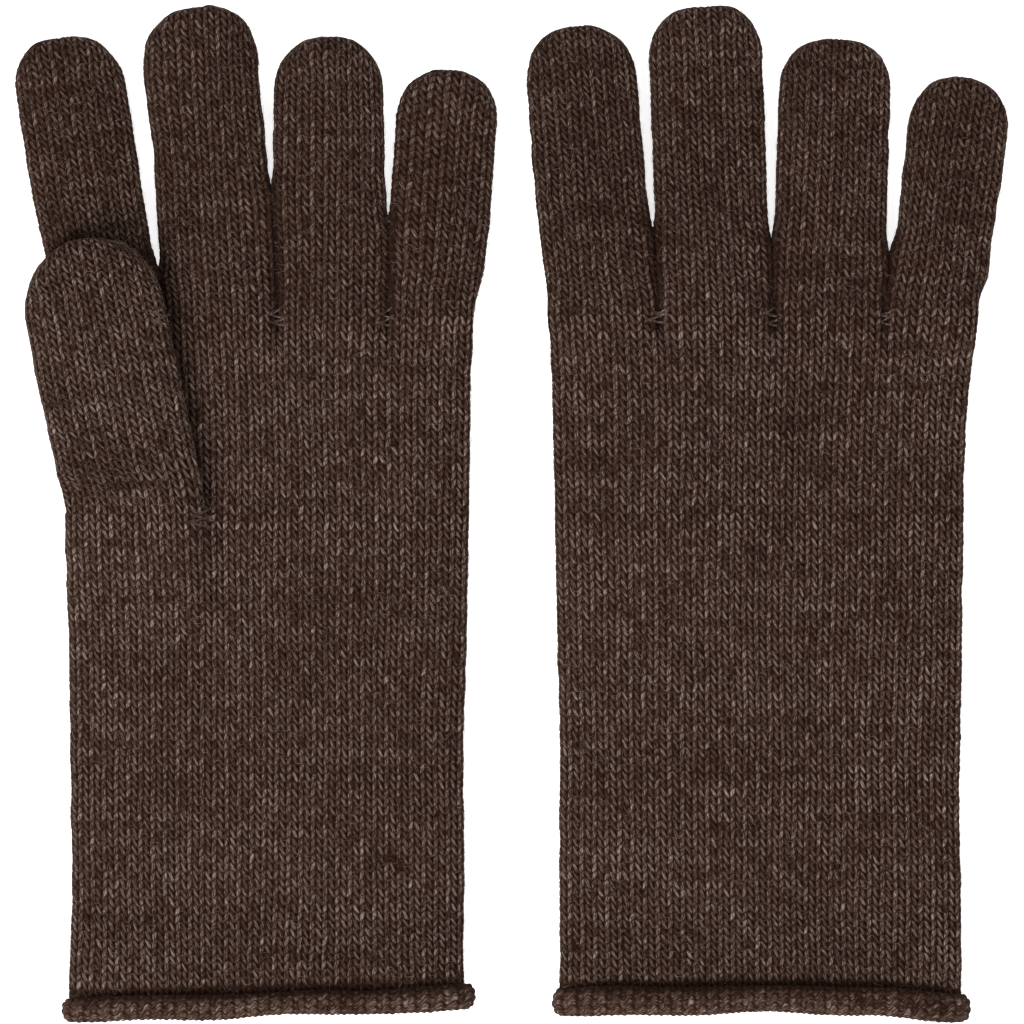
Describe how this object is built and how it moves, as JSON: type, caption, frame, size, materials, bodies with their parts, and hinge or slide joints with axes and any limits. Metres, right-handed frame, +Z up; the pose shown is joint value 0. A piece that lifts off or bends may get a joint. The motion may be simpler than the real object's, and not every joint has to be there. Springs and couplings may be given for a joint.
{
  "type": "pair of knitted gloves",
  "caption": "Pair of plain knitted full-finger gloves with rolled hems, laid flat: one palm up with its thumb over the palm, one back up with its thumb beneath.",
  "frame": {"origin": "on the table, at the middle of the pair's outline", "axes": "+X across the pair from the palm-up left glove to the back-up right glove, +Y from the hems towards the fingertips, +Z up from the table"},
  "size_m": [0.2463, 0.2527, 0.0185],
  "materials": {
    "knit": "heathered dark brown plain knit, matt and slightly fuzzy",
    "welt_knit": "the same yarn, purl side out",
    "join_knit": "the same yarn, darned join",
    "yarn": "two-ply yarn end"
  },
  "bodies": {
    "left_hand": {"left_lower_palm": "knit", "left_upper_palm": "knit", "left_finger_webs": "join_knit", "left_thumb_web": "join_knit", "left_index_base": "knit", "left_middle_base": "knit", "left_ring_base": "knit", "left_little_base": "knit"},
    "left_cuff_part": {"left_cuff": "knit", "left_rolled_hem": "welt_knit"},
    "left_thumb_part": {"left_thumb": "knit", "left_thumb_tail": "yarn"},
    "left_index_part": {"left_index_end": "knit", "left_index_tail": "yarn"},
    "left_middle_part": {"left_middle_end": "knit", "left_middle_tail": "yarn"},
    "left_ring_part": {"left_ring_end": "knit", "left_ring_tail": "yarn"},
    "left_little_part": {"left_little_end": "knit", "left_little_tail": "yarn"},
    "right_hand": {"right_lower_palm": "knit", "right_upper_palm": "knit", "right_finger_webs": "join_knit", "right_thumb_web": "join_knit", "right_index_base": "knit", "right_middle_base": "knit", "right_ring_base": "knit", "right_little_base": "knit"},
    "right_cuff_part": {"right_cuff": "knit", "right_rolled_hem": "welt_knit"},
    "right_thumb_part": {"right_thumb": "knit", "right_thumb_tail": "yarn"},
    "right_index_part": {"right_index_end": "knit", "right_index_tail": "yarn"},
    "right_middle_part": {"right_middle_end": "knit", "right_middle_tail": "yarn"},
    "right_ring_part": {"right_ring_end": "knit", "right_ring_tail": "yarn"},
    "right_little_part": {"right_little_end": "knit", "right_little_tail": "yarn"}
  },
  "joints": [
    {"name": "right_glove_lift", "type": "slide", "parent": "left_hand", "child": "right_hand", "axis": [0, 0, 1], "range_m": [0, 0.15]},
    {"name": "left_cuff_fold", "type": "hinge", "parent": "left_hand", "child": "left_cuff_part", "pos_m": [-0.0608, -0.06555, 0.0094], "axis": [-1, 0, 0], "range_deg": [0, 90]},
    {"name": "left_thumb_raise", "type": "hinge", "parent": "left_hand", "child": "left_thumb_part", "pos_m": [-0.0931, -0.00075, 0.0179], "axis": [1, 0, 0], "range_deg": [0, 90]},
    {"name": "left_index_fold", "type": "hinge", "parent": "left_hand", "child": "left_index_part", "pos_m": [-0.10465, 0.0724, 0.0086], "axis": [1, 0, 0], "range_deg": [0, 90]},
    {"name": "left_middle_fold", "type": "hinge", "parent": "left_hand", "child": "left_middle_part", "pos_m": [-0.07443, 0.0724, 0.0086], "axis": [1, 0, 0], "range_deg": [0, 90]},
    {"name": "left_ring_fold", "type": "hinge", "parent": "left_hand", "child": "left_ring_part", "pos_m": [-0.04476, 0.0724, 0.0086], "axis": [1, 0, 0], "range_deg": [0, 90]},
    {"name": "left_little_fold", "type": "hinge", "parent": "left_hand", "child": "left_little_part", "pos_m": [-0.01759, 0.0724, 0.0086], "axis": [1, 0, 0], "range_deg": [0, 90]},
    {"name": "right_cuff_fold", "type": "hinge", "parent": "right_hand", "child": "right_cuff_part", "pos_m": [0.0622, -0.06555, 0.0094], "axis": [-1, 0, 0], "range_deg": [0, 90]},
    {"name": "right_thumb_drop", "type": "hinge", "parent": "right_hand", "child": "right_thumb_part", "pos_m": [0.0299, -0.00075, 0], "axis": [-1, 0, 0], "range_deg": [0, 90]},
    {"name": "right_index_fold", "type": "hinge", "parent": "right_hand", "child": "right_index_part", "pos_m": [0.02068, 0.0724, 0.01706], "axis": [1, 0, 0], "range_deg": [0, 90]},
    {"name": "right_middle_fold", "type": "hinge", "parent": "right_hand", "child": "right_middle_part", "pos_m": [0.05004, 0.0724, 0.01706], "axis": [1, 0, 0], "range_deg": [0, 90]},
    {"name": "right_ring_fold", "type": "hinge", "parent": "right_hand", "child": "right_ring_part", "pos_m": [0.08009, 0.0724, 0.0086], "axis": [1, 0, 0], "range_deg": [0, 90]},
    {"name": "right_little_fold", "type": "hinge", "parent": "right_hand", "child": "right_little_part", "pos_m": [0.10846, 0.0724, 0.0086], "axis": [1, 0, 0], "range_deg": [0, 90]}
  ]
}
